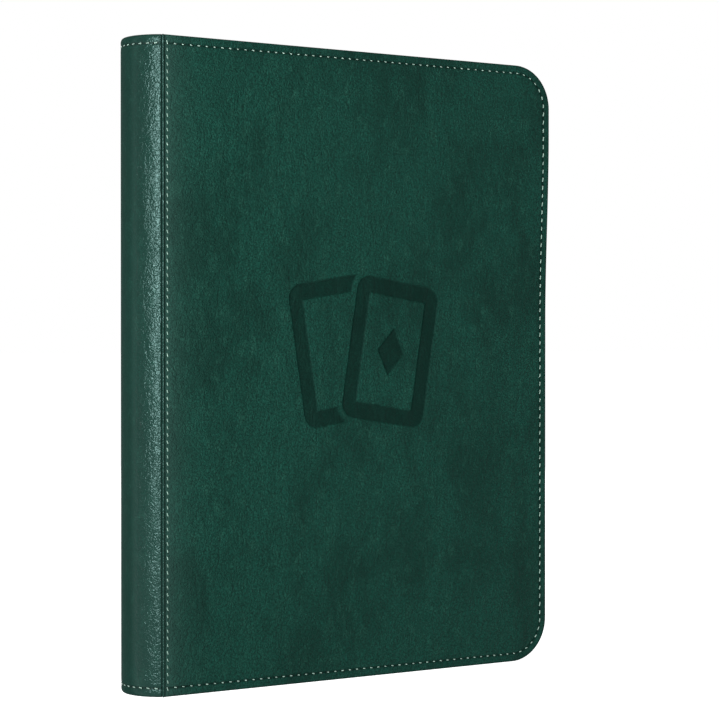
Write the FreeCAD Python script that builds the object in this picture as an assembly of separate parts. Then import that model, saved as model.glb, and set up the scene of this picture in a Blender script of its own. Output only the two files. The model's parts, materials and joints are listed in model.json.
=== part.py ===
"""Trading card binder: a zip-round binder with a leather spine, two stiff covers,
twenty double-sided nine-pocket pages and a zip slider with its pull.

Frame, in millimetres: the closed binder stands on its bottom edge.  +Z is up, the spine
faces -X, the front cover faces -Y, and the origin is the bottom centre of the whole.
"""
import FreeCAD, Part
import math
import os

Vector = FreeCAD.Vector

# ---- overall sizes -------------------------------------------------------------------
binder_height = 350.0        # along Z, head to tail
binder_width = 270.0         # along X, spine to fore-edge
binder_depth = 40.0          # along Y, front face to back face
spine_bulge = 12.0           # how far the rounded spine stands past the cover hinges
corner_radius = 24.5         # rounded fore-edge corners of the covers

# ---- cover layers --------------------------------------------------------------------
leather_thickness = 1.2
board_thickness = 2.4        # greyboard in the covers
lining_thickness = 0.8
tape_thickness = 0.8         # woven zip tape
hem_width = 6.8              # leather turned over all round, as deep as the tape is sewn
hinge_margin = 5.0           # soft leather between a cover's hinge and its board
welt_radius = 0.7            # round welt in each seam: the cover turns about it
welt_gap = 0.3               # groove on each side of the welt
edge_round = 0.4             # folded leather edges beside the welt
glue_line = 0.1              # between layers of one stack
rim_round = 1.2              # outer round of the turned leather edge
lip_round = 0.7              # inner round of the turned leather edge

# ---- zip -----------------------------------------------------------------------------
tape_inset = 3.4             # outer face of the tape, below the cover's edge
tape_clearance = 0.3         # leather lip to the tape
tooth_height = 2.4           # across the tape
tooth_reach = 2.6            # each row of teeth, from the middle of the zip outward
row_gap = 1.2                # between the two rows
tooth_grip = 1.2             # how far the tape's bead goes into the row of teeth
grip_clearance = 0.05
tail_half_width = 8.0        # the sewn-down zip ends at the spine
tail_reach = 30.0            # from the hinge line along the covers
tail_split = 0.6             # between a zip end and the cover's own zip
cover_tape_start = 6.0       # from the hinge line
lining_start = 1.5           # from the hinge line
chain_start = 3.5            # first tooth of a zip end, from the hinge line
end_tab_thickness = 1.2      # leather tab over the end of the tape
end_tab_reach = 3.0          # from the hinge line
end_tab_clearance = 0.6      # to the covers' linings

slider_length = 12.0
slider_half_width = 5.0
slider_plate = 0.8
slider_clearance = 0.25      # to the teeth and to the tape
slider_station = 10.2        # middle of the parked slider, from the hinge line
bridge_thickness = 0.8       # wedge that parts the two rows of teeth
bridge_length = 3.0
bail_half_length = 3.6
bail_leg = 1.0
bail_half_width = 0.9
bail_bar = 0.5
pivot_radius = 0.35          # the pull's cross bar, under the bail
pivot_clearance = 0.1
pull_length = 26.0
pull_half_width = 3.2
pull_eye_half_width = 1.4
pull_eye_length = 4.6
pull_hole_radius = 1.4       # hole near the free end

# ---- spine layers --------------------------------------------------------------------
spine_board_thickness = 2.0
spine_round = 1.2            # round of the spine's ends

# ---- pages ---------------------------------------------------------------------------
page_count = 20
stack_end_gap = 0.6          # lining to the first and last page
page_gap = 0.3               # between two closed pages
core_thickness = 0.3
film_thickness = 0.12
page_end_clearance = 23.5    # cover's edge to the page's top and bottom edge
page_side_clearance = 12.0   # cover's fore-edge to the page's outer edge
page_station = 9.0           # page hinges, from the hinge line
binding_margin = 15.0        # bare core next to the page's hinge
page_border = 1.5            # bare core round the pockets
pocket_rows = 3
pocket_columns = 3
weld_width = 2.0
thumb_slot = 2.5             # open side of each pocket, towards the spine
nose_radius = 0.25           # round inner edge of a page, on its hinge
nose_clearance = 0.1
stub_thickness = 0.8         # fabric stubs that carry the pages
binding_thickness = 0.9      # curved strip that carries the stubs

# ---- sizes that follow ---------------------------------------------------------------
half_depth = binder_depth / 2
hinge_x = -binder_width / 2 + spine_bulge
hinge_y = half_depth - welt_radius
seam_half_width = welt_radius + welt_gap
fore_x = binder_width / 2
cover_thickness = leather_thickness + board_thickness + lining_thickness
lining_outer = half_depth - leather_thickness - board_thickness
lining_inner = half_depth - cover_thickness
flange_outer = lining_outer + tape_thickness
board_outer = half_depth - leather_thickness
tape_inner_inset = tape_inset + tape_thickness
tape_middle = tape_inset + tape_thickness / 2
row_inner = row_gap / 2
row_outer = row_inner + tooth_reach
tape_bead = row_outer - tooth_grip
page_pitch = 2 * (lining_inner - stack_end_gap) / page_count
weld_height = (page_pitch - page_gap - core_thickness) / 2 - film_thickness
page_bottom = page_end_clearance
page_top = binder_height - page_end_clearance
page_width = fore_x - page_side_clearance - (hinge_x + page_station)
spine_radius = (half_depth ** 2 + spine_bulge ** 2) / (2 * spine_bulge)
spine_centre_x = -binder_width / 2 + spine_radius
spine_board_radius = spine_radius - leather_thickness - glue_line
spine_hem_radius = spine_board_radius - spine_board_thickness
spine_lining_radius = spine_hem_radius - glue_line
binding_radius = spine_lining_radius - lining_thickness - glue_line
slider_half_height = tooth_height / 2 + slider_clearance + slider_plate
end_tab_half_width = lining_inner - end_tab_clearance


def box(x0, x1, y0, y1, z0, z1):
    return Part.makeBox(x1 - x0, y1 - y0, z1 - z0, Vector(x0, y0, z0))


def rod(x, y, z0, z1, radius):
    return Part.makeCylinder(radius, z1 - z0, Vector(x, y, z0))


def cover_slab(inset, y_a, y_b, start_x):
    """Slab in a cover's outline, drawn in by inset, from start_x to the fore-edge."""
    x1 = fore_x - inset
    z0 = inset
    z1 = binder_height - inset
    radius = corner_radius - inset
    bend = radius * math.sqrt(0.5)
    corners = [Vector(start_x, y_a, z0), Vector(x1 - radius, y_a, z0),
               Vector(x1, y_a, z0 + radius), Vector(x1, y_a, z1 - radius),
               Vector(x1 - radius, y_a, z1), Vector(start_x, y_a, z1)]
    low = Vector(x1 - radius + bend, y_a, z0 + radius - bend)
    high = Vector(x1 - radius + bend, y_a, z1 - radius + bend)
    edges = [Part.LineSegment(corners[0], corners[1]).toShape(),
             Part.Arc(corners[1], low, corners[2]).toShape(),
             Part.LineSegment(corners[2], corners[3]).toShape(),
             Part.Arc(corners[3], high, corners[4]).toShape(),
             Part.LineSegment(corners[4], corners[5]).toShape(),
             Part.LineSegment(corners[5], corners[0]).toShape()]
    return Part.Face(Part.Wire(edges)).extrude(Vector(0, y_b - y_a, 0))


def edge_band(inset_out, inset_in, y_a, y_b, start_x):
    """U-shaped band that follows a cover's top, fore-edge and bottom."""
    outer = cover_slab(inset_out, y_a, y_b, start_x)
    return outer.cut(cover_slab(inset_in, y_a, y_b, start_x - 1.0))


def edges_at(shape, y, skip_x):
    """Edges of shape in the plane Y = y, apart from the straight one at X = skip_x."""
    found = []
    for edge in shape.Edges:
        box_of = edge.BoundBox
        in_plane = abs(box_of.YMin - y) < 1e-6 and abs(box_of.YMax - y) < 1e-6
        at_hinge = box_of.XMax < skip_x + 1e-6
        if in_plane and not at_hinge:
            found.append(edge)
    return found


def folded_edge(shape, x):
    """The upright edge at X = x on the outer face, where the leather is folded at a seam."""
    outermost = []
    for edge in shape.Edges:
        room = edge.BoundBox
        upright = room.ZLength > binder_height / 2
        if upright and abs(room.XMin - x) < 1e-6 and abs(room.XMax - x) < 1e-6:
            outermost.append(edge)
    return [max(outermost, key=lambda edge: edge.BoundBox.YMax)]


# ---- covers: each is drawn as the front one, with Y measured outwards from the middle ----
def to_side(shape, side):
    """Front pieces (side -1) and back pieces (side 1) are mirror images."""
    if side > 0:
        return shape
    return shape.mirror(Vector(0, 0, 0), Vector(0, 1, 0))


def cover_skin(side):
    """Leather: a face sheet with a turned hem and a lip that hides the tape's root."""
    start = hinge_x + seam_half_width
    lip_inset = tape_inset - tape_clearance
    skin = cover_slab(0, lining_inner, half_depth, start)
    skin = skin.makeFillet(rim_round, edges_at(skin, half_depth, start))
    skin = skin.makeFillet(lip_round, edges_at(skin, lining_inner, start))
    skin = skin.makeFillet(edge_round, folded_edge(skin, start))
    skin = skin.cut(cover_slab(lip_inset, lining_inner - 1, lining_outer, start - 1))
    seat_start = hinge_x + cover_tape_start - tape_clearance
    skin = skin.cut(edge_band(lip_inset, hem_width, lining_outer, flange_outer, seat_start))
    board_start = hinge_x + hinge_margin
    return to_side(skin.cut(cover_slab(hem_width, lining_outer, board_outer, board_start)), side)


def cover_board(side):
    start = hinge_x + hinge_margin + glue_line
    return to_side(cover_slab(hem_width + glue_line, lining_outer, board_outer, start), side)


def cover_lining(side):
    start = hinge_x + lining_start
    return to_side(cover_slab(tape_inner_inset + glue_line, lining_inner, lining_outer, start), side)


def cover_zip_tape(side):
    """Flange sewn between leather and lining, and the web that reaches the teeth."""
    start = hinge_x + cover_tape_start
    tail_end = hinge_x + tail_reach + tail_split
    flange = edge_band(tape_inset, hem_width - glue_line, lining_outer, flange_outer, start)
    short_web = edge_band(tape_inset, tape_inner_inset, tail_half_width + tail_split,
                          lining_outer, start)
    long_web = edge_band(tape_inset, tape_inner_inset, tape_bead, lining_outer, tail_end)
    return to_side(flange.multiFuse([short_web, long_web]).removeSplitter(), side)


def cover_zip_chain(side):
    """One row of teeth, gripping the tape's edge."""
    start = hinge_x + tail_reach + tail_split
    half = tooth_height / 2
    row = edge_band(tape_middle - half, tape_middle + half, row_inner, row_outer, start)
    slot = edge_band(tape_inset - grip_clearance, tape_inner_inset + grip_clearance,
                     tape_bead - grip_clearance, row_outer + 1, start - 1)
    return to_side(row.cut(slot), side)


# ---- spine ---------------------------------------------------------------------------
def spine_shell(outer_radius, inner_radius, z0, z1, front_x):
    """Arched shell on the spine's centre line, as far as the plane X = front_x."""
    ring = rod(spine_centre_x, 0, z0, z1, outer_radius)
    ring = ring.cut(rod(spine_centre_x, 0, z0 - 1, z1 + 1, inner_radius))
    keep = box(-binder_width, front_x, -half_depth, half_depth, z0 - 1, z1 + 1)
    return ring.common(keep)


def spine_skin():
    front = hinge_x - seam_half_width
    body = rod(spine_centre_x, 0, 0, binder_height, spine_radius)
    body = body.makeFillet(spine_round, [e for e in body.Edges if len(e.Vertexes) == 1])
    body = body.cut(rod(spine_centre_x, 0, -1, binder_height + 1, spine_hem_radius))
    board_room = rod(spine_centre_x, 0, hem_width, binder_height - hem_width,
                     spine_radius - leather_thickness)
    keep = box(-binder_width, front, -half_depth, half_depth, -1, binder_height + 1)
    return body.cut(board_room).common(keep)


def spine_board():
    low = hem_width + glue_line
    return spine_shell(spine_board_radius, spine_hem_radius, low, binder_height - low,
                       hinge_x - seam_half_width)


def spine_lining():
    low = tape_inset - tape_clearance
    return spine_shell(spine_lining_radius, spine_lining_radius - lining_thickness,
                       low, binder_height - low, hinge_x)


def seam_welts():
    """Leather-covered cord in each seam, on the line that the cover turns about."""
    return Part.makeCompound([rod(hinge_x, side * hinge_y, 0, binder_height, welt_radius)
                              for side in (-1, 1)])


def page_y(index):
    return (index - (page_count - 1) / 2) * page_pitch


def page_binding():
    """Curved strip sewn to the spine lining, with one fabric stub for each page."""
    tip_x = hinge_x + page_station - nose_radius - nose_clearance
    reach = page_y(page_count - 1) + stub_thickness / 2
    strip = spine_shell(binding_radius, binding_radius - binding_thickness,
                        page_bottom, page_top, tip_x)
    width = box(-binder_width, tip_x, -reach, reach, page_bottom - 1, page_top + 1)
    bore = rod(spine_centre_x, 0, page_bottom, page_top, binding_radius)
    stubs = []
    for index in range(page_count):
        y = page_y(index)
        stubs.append(box(-binder_width / 2, tip_x, y - stub_thickness / 2,
                         y + stub_thickness / 2, page_bottom, page_top).common(bore))
    return strip.common(width).multiFuse(stubs).removeSplitter()


# ---- zip ends on the spine, drawn at the top; the bottom ones are mirror images --------
def to_bottom(shape):
    return shape.mirror(Vector(0, 0, binder_height / 2), Vector(0, 0, 1))


def both_ends(shape):
    return Part.makeCompound([shape, to_bottom(shape)])


def zip_tail():
    """End of the zip tape: whole at the spine, split in two under the teeth."""
    z1 = binder_height - tape_inset
    z0 = z1 - tape_thickness
    end_x = hinge_x + tail_reach
    tape = box(-binder_width / 2, end_x, -tail_half_width, tail_half_width, z0, z1)
    tape = tape.common(rod(spine_centre_x, 0, z0, z1, binding_radius).fuse(
        box(spine_centre_x, end_x, -tail_half_width, tail_half_width, z0, z1)))
    split = box(hinge_x + chain_start - grip_clearance, end_x + 1, -tape_bead, tape_bead, z0, z1)
    return tape.cut(split)


def zip_tail_rows():
    """The two rows of teeth on a zip end."""
    z = binder_height - tape_middle
    half = tooth_height / 2
    start = hinge_x + chain_start
    end = hinge_x + tail_reach
    rows = []
    for side in (-1, 1):
        near, far = sorted((side * row_inner, side * row_outer))
        row = box(start, end, near, far, z - half, z + half)
        near, far = sorted((side * (tape_bead - grip_clearance), side * (row_outer + 1)))
        slot_half = tape_thickness / 2 + grip_clearance
        rows.append(row.cut(box(start - 1, end + 1, near, far, z - slot_half, z + slot_half)))
    return rows


def zip_end_tab():
    """Leather gusset over the end of the zip tape: it closes the end of the spine."""
    z0 = binder_height - tape_inset
    z1 = z0 + end_tab_thickness
    end_x = hinge_x + end_tab_reach
    tab = box(-binder_width / 2, end_x, -end_tab_half_width, end_tab_half_width, z0, z1)
    return tab.common(rod(spine_centre_x, 0, z0, z1, binding_radius))


# ---- slider and pull -------------------------------------------------------------------
slider_x = hinge_x + slider_station
slider_z = binder_height - tape_middle
slider_top = slider_z + slider_half_height
pivot_z = slider_top + pivot_clearance + pivot_radius


def zip_slider():
    """Two plates with turned-in sides, the wedge between them, and the bail on top."""
    x0 = slider_x - slider_length / 2
    x1 = slider_x + slider_length / 2
    block = box(x0, x1, -slider_half_width, slider_half_width,
                slider_z - slider_half_height, slider_top)
    upright = [e for e in block.Edges if abs(e.BoundBox.ZLength - 2 * slider_half_height) < 1e-6]
    block = block.makeFillet(2.0, upright)
    channel = row_outer + slider_clearance
    room = tooth_height / 2 + slider_clearance
    slot = tape_thickness / 2 + slider_clearance
    block = block.cut(box(x0 - 1, x1 + 1, -channel, channel, slider_z - room, slider_z + room))
    block = block.cut(box(x0 - 1, x1 + 1, -slider_half_width - 1, slider_half_width + 1,
                          slider_z - slot, slider_z + slot))
    bridge = box(x0, x0 + bridge_length, -bridge_thickness / 2, bridge_thickness / 2,
                 slider_z - room, slider_z + room)
    bail_under = pivot_z + pivot_radius + pivot_clearance
    bail = box(slider_x - bail_half_length, slider_x + bail_half_length,
               -bail_half_width, bail_half_width, slider_top, bail_under + bail_bar)
    inner = bail_half_length - bail_leg
    bail = bail.cut(box(slider_x - inner, slider_x + inner,
                        -bail_half_width - 1, bail_half_width + 1, slider_top, bail_under))
    return block.multiFuse([bridge, bail]).removeSplitter()


def zip_pull():
    """Flat tab whose cross bar turns under the slider's bail."""
    x1 = slider_x + pull_length
    thick = 2 * pivot_radius
    plate = box(slider_x, x1, -pull_half_width, pull_half_width,
                pivot_z - pivot_radius, pivot_z + pivot_radius)
    free_end = [e for e in plate.Edges
                if abs(e.BoundBox.ZLength - thick) < 1e-6 and e.BoundBox.XMin > x1 - 1e-6]
    plate = plate.makeFillet(pull_half_width * 0.8, free_end)
    bar = Part.makeCylinder(pivot_radius, 2 * pull_half_width,
                            Vector(slider_x, -pull_half_width, pivot_z), Vector(0, 1, 0))
    eye = box(slider_x + pivot_radius, slider_x + pull_eye_length,
              -pull_eye_half_width, pull_eye_half_width, pivot_z - thick, pivot_z + thick)
    hole = rod(x1 - pull_half_width, 0, pivot_z - thick, pivot_z + thick, pull_hole_radius)
    eye_start = box(slider_x - 1, slider_x + pivot_radius, -pull_eye_half_width,
                    pull_eye_half_width, pivot_z - thick, pivot_z + thick)
    return plate.cut(eye_start).fuse(bar).cut(eye).cut(hole).removeSplitter()


# ---- pages: drawn on a hinge at X = Y = 0, then moved to their places --------------------
def page_core():
    """Stiff sheet with a round nose on the hinge line."""
    half = core_thickness / 2
    sheet = box(0, page_width, -half, half, page_bottom, page_top)
    return sheet.fuse(rod(0, 0, page_bottom, page_top, nose_radius)).removeSplitter()


def pocket_strip(column):
    """One column of pockets: film on weld ribs, open on the side next to the spine."""
    run = (page_width - binding_margin - page_border) / pocket_columns
    x0 = binding_margin + column * run + thumb_slot
    x1 = binding_margin + (column + 1) * run
    z0 = page_bottom + page_border
    z1 = page_top - page_border
    y0 = core_thickness / 2
    y1 = y0 + weld_height
    ribs = [box(x1 - weld_width, x1, y0, y1, z0, z1)]
    row_pitch = (z1 - z0 - weld_width) / pocket_rows
    for row in range(pocket_rows + 1):
        z = z0 + row * row_pitch
        ribs.append(box(x0, x1, y0, y1, z, z + weld_width))
    film = box(x0, x1, y1, y1 + film_thickness, z0, z1)
    return film.multiFuse(ribs).removeSplitter()


def page_pockets():
    """Both faces' pockets: one welded strip for each column on each face."""
    strips = [pocket_strip(column) for column in range(pocket_columns)]
    return Part.makeCompound(strips + [to_side(strip, -1) for strip in strips])


def at_page(shape, index):
    placed = shape.copy()
    placed.translate(Vector(hinge_x + page_station, page_y(index), 0))
    return placed


# ---- all the nodes -------------------------------------------------------------------
def nodes():
    made = {
        "spine_skin": spine_skin(),
        "spine_board": spine_board(),
        "spine_lining": spine_lining(),
        "seam_welts": seam_welts(),
        "page_binding": page_binding(),
        "zip_tails": both_ends(zip_tail()),
        "zip_tail_chains": Part.makeCompound(
            zip_tail_rows() + [to_bottom(row) for row in zip_tail_rows()]),
        "zip_end_tabs": both_ends(zip_end_tab()),
        "zip_slider": zip_slider(),
        "zip_pull": zip_pull(),
    }
    for name, side in (("front", -1), ("back", 1)):
        made[name + "_skin"] = cover_skin(side)
        made[name + "_board"] = cover_board(side)
        made[name + "_lining"] = cover_lining(side)
        made[name + "_zip_tape"] = cover_zip_tape(side)
        made[name + "_zip_chain"] = cover_zip_chain(side)
    core = page_core()
    pockets = page_pockets()
    for index in range(page_count):
        made["page_%02d" % (index + 1)] = at_page(core, index)
        made["page_%02d_pockets" % (index + 1)] = at_page(pockets, index)
    return made


def main():
    os.makedirs("parts", exist_ok=True)
    for name, shape in nodes().items():
        solids = shape.Solids
        volume = sum(solid.Volume for solid in solids)
        print("%-18s solids %d valid %s volume %.1f" % (name, len(solids), shape.isValid(), volume))
        shape.exportStep("parts/%s.step" % name)


main()
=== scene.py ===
"""Looks of the zip-round card binder, built on its packed frame.

Lengths are metres, in the frame's own axes: +Z up, the spine towards -X, the front cover
towards -Y.
"""
import json
from math import acos, asin, cos, exp, pi, radians, sin

import bpy
import bmesh
import numpy as np
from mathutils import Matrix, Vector
from bpy.props import FloatProperty, FloatVectorProperty, PointerProperty


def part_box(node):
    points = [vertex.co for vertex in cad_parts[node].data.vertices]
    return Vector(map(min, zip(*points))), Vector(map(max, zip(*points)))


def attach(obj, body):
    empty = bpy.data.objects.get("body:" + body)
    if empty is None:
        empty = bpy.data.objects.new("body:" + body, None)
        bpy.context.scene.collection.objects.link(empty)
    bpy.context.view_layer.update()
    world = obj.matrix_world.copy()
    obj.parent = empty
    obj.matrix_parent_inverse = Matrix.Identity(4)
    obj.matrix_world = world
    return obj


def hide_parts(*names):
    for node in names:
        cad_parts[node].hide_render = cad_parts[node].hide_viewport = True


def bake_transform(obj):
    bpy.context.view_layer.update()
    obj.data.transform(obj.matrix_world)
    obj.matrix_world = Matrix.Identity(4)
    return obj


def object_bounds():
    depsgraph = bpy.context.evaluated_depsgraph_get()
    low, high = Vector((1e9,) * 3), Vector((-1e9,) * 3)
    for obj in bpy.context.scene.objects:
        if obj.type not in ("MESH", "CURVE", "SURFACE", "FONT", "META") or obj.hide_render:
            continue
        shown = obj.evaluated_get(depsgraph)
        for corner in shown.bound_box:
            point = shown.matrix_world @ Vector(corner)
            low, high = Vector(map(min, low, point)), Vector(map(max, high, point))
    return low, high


bl_info = {
    "name": "Card Binder",
    "version": (1, 0, 0),
    "blender": (4, 5, 0),
    "location": "3D View > Sidebar > Binder",
    "description": "Leather, stitching, zip and pages of a zip-round card binder",
    "category": "Object",
}

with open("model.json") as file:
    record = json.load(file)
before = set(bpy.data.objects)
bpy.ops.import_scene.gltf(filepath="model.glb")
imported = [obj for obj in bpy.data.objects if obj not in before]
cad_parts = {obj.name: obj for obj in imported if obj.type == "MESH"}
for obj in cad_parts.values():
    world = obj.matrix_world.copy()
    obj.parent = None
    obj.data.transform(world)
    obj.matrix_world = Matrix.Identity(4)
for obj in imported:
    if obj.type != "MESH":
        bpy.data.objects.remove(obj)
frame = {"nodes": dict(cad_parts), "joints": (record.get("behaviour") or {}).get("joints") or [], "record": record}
CAD_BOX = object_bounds()
MM = 0.001
WELD_DISTANCE = 1e-7
# Painted sheen: a paler green laid on the covers beside the seam, fading away from it.
PAINTED_SHEEN_DYE = (0.036, 0.078, 0.066)
# A wave texture at scale 1 repeats about once in this length.
WAVE_LENGTH = 0.314


# ---- places read from the frame ----
def joint_named(name):
    """The frame's joint of that name."""
    return next(j for j in frame["joints"] if j["name"] == name)


HINGE_X, HINGE_Y = joint_named("back_cover_hinge")["pos_m"][:2]
HALF_DEPTH = CAD_BOX[1].y
HEIGHT = CAD_BOX[1].z
FORE_X = CAD_BOX[1].x
COVER_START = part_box("back_skin")[0].x
COVER_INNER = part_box("back_skin")[0].y
COVER_THICKNESS = HALF_DEPTH - COVER_INNER
BULGE = HINGE_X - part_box("spine_skin")[0].x
SPINE_RADIUS = (HALF_DEPTH ** 2 + BULGE ** 2) / (2 * BULGE)
SPINE_CENTRE_X = HINGE_X - BULGE + SPINE_RADIUS
SPINE_END_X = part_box("spine_skin")[1].x
WELT_RADIUS = HALF_DEPTH - HINGE_Y
# Name and body of each cover, and the side of Y that it is on.
COVERS = (("front", "front_cover", -1), ("back", "back_cover", 1))

# Plain pressed mark on the front: two tilted cards, the front one with a lozenge.
MARK_X = HINGE_X + 128.5 * MM
MARK_Z = 182 * MM
MARK_REACH_X = 56 * MM
MARK_REACH_Z = 49 * MM
CARD_HALF_WIDTH = 28 * MM
CARD_HALF_HEIGHT = 40 * MM
CARD_CORNER = 8 * MM
CARD_SHIFT = 17.5 * MM
CARD_TILT = radians(9)
CARD_GAP = 3.5 * MM
BAR_WIDTH = 9 * MM
LOZENGE_HALF_WIDTH = 9 * MM
LOZENGE_HALF_HEIGHT = 13.5 * MM
LOZENGE_SLOPE = 7.5 * MM
MARK_BEVEL = 0.45 * MM

# Leather and thread.
BACK_EDGE_DEPTH = 4.38 * MM
SPINE_EDGE_DEPTH = 3.1 * MM
TURNED_REACH = 2 * MM
GROOVE_REACH = 0.55 * MM
# Reach of the painted shade at the fold into the seam.
FOLD_SHADE_REACH = 0.25 * MM
# How far the painted sheen reaches from the seam.
PAINTED_SHEEN_REACH = 8 * MM
FACE_STEP = 2.5 * MM
MARK_STEP = 0.6 * MM
# Where the front's top corner begins to stand out, and where it does so fully.
EASE_ALONG = (FORE_X - 75 * MM, FORE_X - 12 * MM)
EASE_UP = (200 * MM, 310 * MM)
CORNER_POINTS = 23
SPINE_COLUMNS = 61
WELT_SIDES = 14
WELT_WAVE = 3.8 * MM
THREAD_RISE = 0.12 * MM
LINING_SINK = 0.02 * MM
SEAM_SINK = 0.10 * MM
SEAM_MARGIN = 2.4 * MM
CLOTH_GAP = 0.03 * MM

# Stage.
FLOOR_HALF = 30.0
FLOOR_GLOW = 0.90
LAMP_TARGET = Vector((-0.02, 0.0, 0.18))
# Name, place, width and height of each soft box.
LAMPS = (("key", (-0.91, -0.93, 0.43), 0.24, 0.60), ("fill", (-0.25, -1.5, 0.9), 1.0, 1.0),
         ("back", (0.95, 1.35, 0.95), 1.2, 1.2))


# ---- sizes and colours a user would change ----
def length_prop(name, about, millimetres):
    """A length setting."""
    return FloatProperty(name=name, description=about, unit="LENGTH", default=millimetres * MM)


def colour_prop(name, about, value):
    """A colour setting."""
    return FloatVectorProperty(name=name, description=about, subtype="COLOR", size=3, default=value)


def number_prop(name, about, value, subtype="NONE"):
    """A plain number or angle setting."""
    return FloatProperty(name=name, description=about, subtype=subtype, default=value)


class BinderLeather(bpy.types.PropertyGroup):
    """Leather of the covers and spine"""
    deep: colour_prop("Deep green", "Darkest clouds of the dye", (0.0030, 0.0190, 0.0135))
    mid: colour_prop("Mid green", "Main colour of the dye", (0.0066, 0.0470, 0.0335))
    light: colour_prop("Light green", "Palest clouds of the dye", (0.0165, 0.0720, 0.0510))
    corner_radius: length_prop("Corner radius", "Fore-edge corners of the covers", 24.5)
    cover_grain: length_prop("Cover grain", "Size of a pebble on the covers", 0.95)
    spine_grain: length_prop("Spine grain", "Size of a pebble on the spine", 1.0)
    groove_depth: length_prop("Stitch groove", "How far the thread pulls the leather in", 0.34)
    corner_ease: length_prop("Corner ease", "How far the front's top fore-edge corner stands out", 2.5)
    mark_depth: length_prop("Pressed mark", "Depth of the plain mark on the front", 0.60)


class BinderStitching(bpy.types.PropertyGroup):
    """Thread round the covers, along the seams and over the spine's ends"""
    colour: colour_prop("Thread", "Colour of the thread", (0.31, 0.48, 0.40))
    radius: length_prop("Thread radius", "Half the thread's thickness", 0.28)
    inset: length_prop("Edge inset", "Stitch line to the edge of the leather", 4.8)
    edge_pitch: length_prop("Edge pitch", "Stitch length round the covers", 4.8)
    seam_pitch: length_prop("Seam pitch", "Stitch length along the seams", 3.8)
    seam_offset: length_prop("Seam offset", "Seam stitches to the hinge line", 2.15)


class BinderZip(bpy.types.PropertyGroup):
    """Teeth of the zip"""
    colour: colour_prop("Teeth", "Colour of the moulded teeth", (0.012, 0.024, 0.020))
    pitch: length_prop("Tooth pitch", "Distance between teeth in one row", 3.0)
    width: length_prop("Tooth width", "Width of a tooth along its row", 1.2)
    overlap: length_prop("Overlap", "How far a tooth reaches past the middle", 0.8)


class BinderStage(bpy.types.PropertyGroup):
    """Floor, lamps and camera"""
    lens: number_prop("Lens", "Focal length in millimetres on a 36 mm sensor", 109.83)
    camera_place: FloatVectorProperty(name="Camera", description="Place of the camera", size=3,
                                      subtype="TRANSLATION", default=(-0.6838, -1.0360, 0.1879))
    heading: number_prop("Heading", "Turn of the camera from straight ahead", radians(33.994),
                         "ANGLE")
    dip: number_prop("Dip", "Tilt of the camera below level", radians(0.468), "ANGLE")
    key: number_prop("Key lamp", "Power of the main soft box in watts", 23.0)
    fill: number_prop("Fill lamp", "Power of the fill soft box in watts", 3.0)
    back: number_prop("Back lamp", "Power of the lamp behind in watts", 16.0)
    sky: number_prop("Sky", "Strength of the room's light", 0.20)


def leather_props():
    """The leather's settings."""
    return bpy.context.scene.binder_leather


def stitch_props():
    """The stitching's settings."""
    return bpy.context.scene.binder_stitching


# ---- mesh helpers ----
def add_object(name, data):
    """A new object in the scene."""
    item = bpy.data.objects.new(name, data)
    bpy.context.scene.collection.objects.link(item)
    return item


def new_piece(name, verts, faces, material, attributes=None):
    """Smooth mesh object in the scene, with float attributes on its points."""
    mesh = bpy.data.meshes.new(name)
    mesh.from_pydata([tuple(v) for v in verts], [], faces)
    mesh.validate()
    for key, values in (attributes or {}).items():
        layer = mesh.attributes.new(key, "FLOAT", "POINT")
        layer.data.foreach_set("value", np.asarray(values, dtype=np.float32))
    mesh.polygons.foreach_set("use_smooth", [True] * len(mesh.polygons))
    mesh.materials.append(material)
    return add_object(name, mesh)


def grid_quads(rows, columns, start=0, flip=False):
    """Quads of a grid of points stored row after row."""
    quads = []
    for row in range(rows - 1):
        for column in range(columns - 1):
            a = start + row * columns + column
            quad = (a, a + 1, a + columns + 1, a + columns)
            quads.append(quad[::-1] if flip else quad)
    return quads


def ring_quads(rings, sides, start):
    """Quads of a tube whose rings of points are stored one after another."""
    quads = []
    for ring in range(rings - 1):
        for k in range(sides):
            a = start + ring * sides + k
            b = start + ring * sides + (k + 1) % sides
            quads.append((a, b, b + sides, a + sides))
    return quads


def turns(count):
    """Even angles of one full turn."""
    return [2 * pi * k / count for k in range(count)]


def change_mesh(piece, change):
    """Runs one bmesh change on a piece."""
    work = bmesh.new()
    work.from_mesh(piece.data)
    change(work)
    work.to_mesh(piece.data)
    work.free()
    return piece


def weld(piece):
    """Joins points that lie on each other."""
    return change_mesh(piece, lambda work: bmesh.ops.remove_doubles(
        work, verts=work.verts, dist=WELD_DISTANCE))


def close_normals(piece):
    """Turns every face of closed bodies outward."""
    return change_mesh(piece, lambda work: bmesh.ops.recalc_face_normals(work, faces=work.faces))


def thicken(strip, thickness, offset):
    """Gives a strip its thickness: along its normals at offset 1, against them at -1."""
    thick = strip.modifiers.new("thickness", "SOLIDIFY")
    thick.thickness = thickness
    thick.offset = offset


def spaced(a, b, step):
    """Even points from a to b, about step apart."""
    count = max(2, int(round(abs(b - a) / step)) + 1)
    return list(np.linspace(a, b, count))


def smooth_step(value, low, high):
    """0 at low and 1 at high, with a smooth run between."""
    t = np.clip((value - low) / (high - low), 0.0, 1.0)
    return t * t * (3 - 2 * t)


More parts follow.
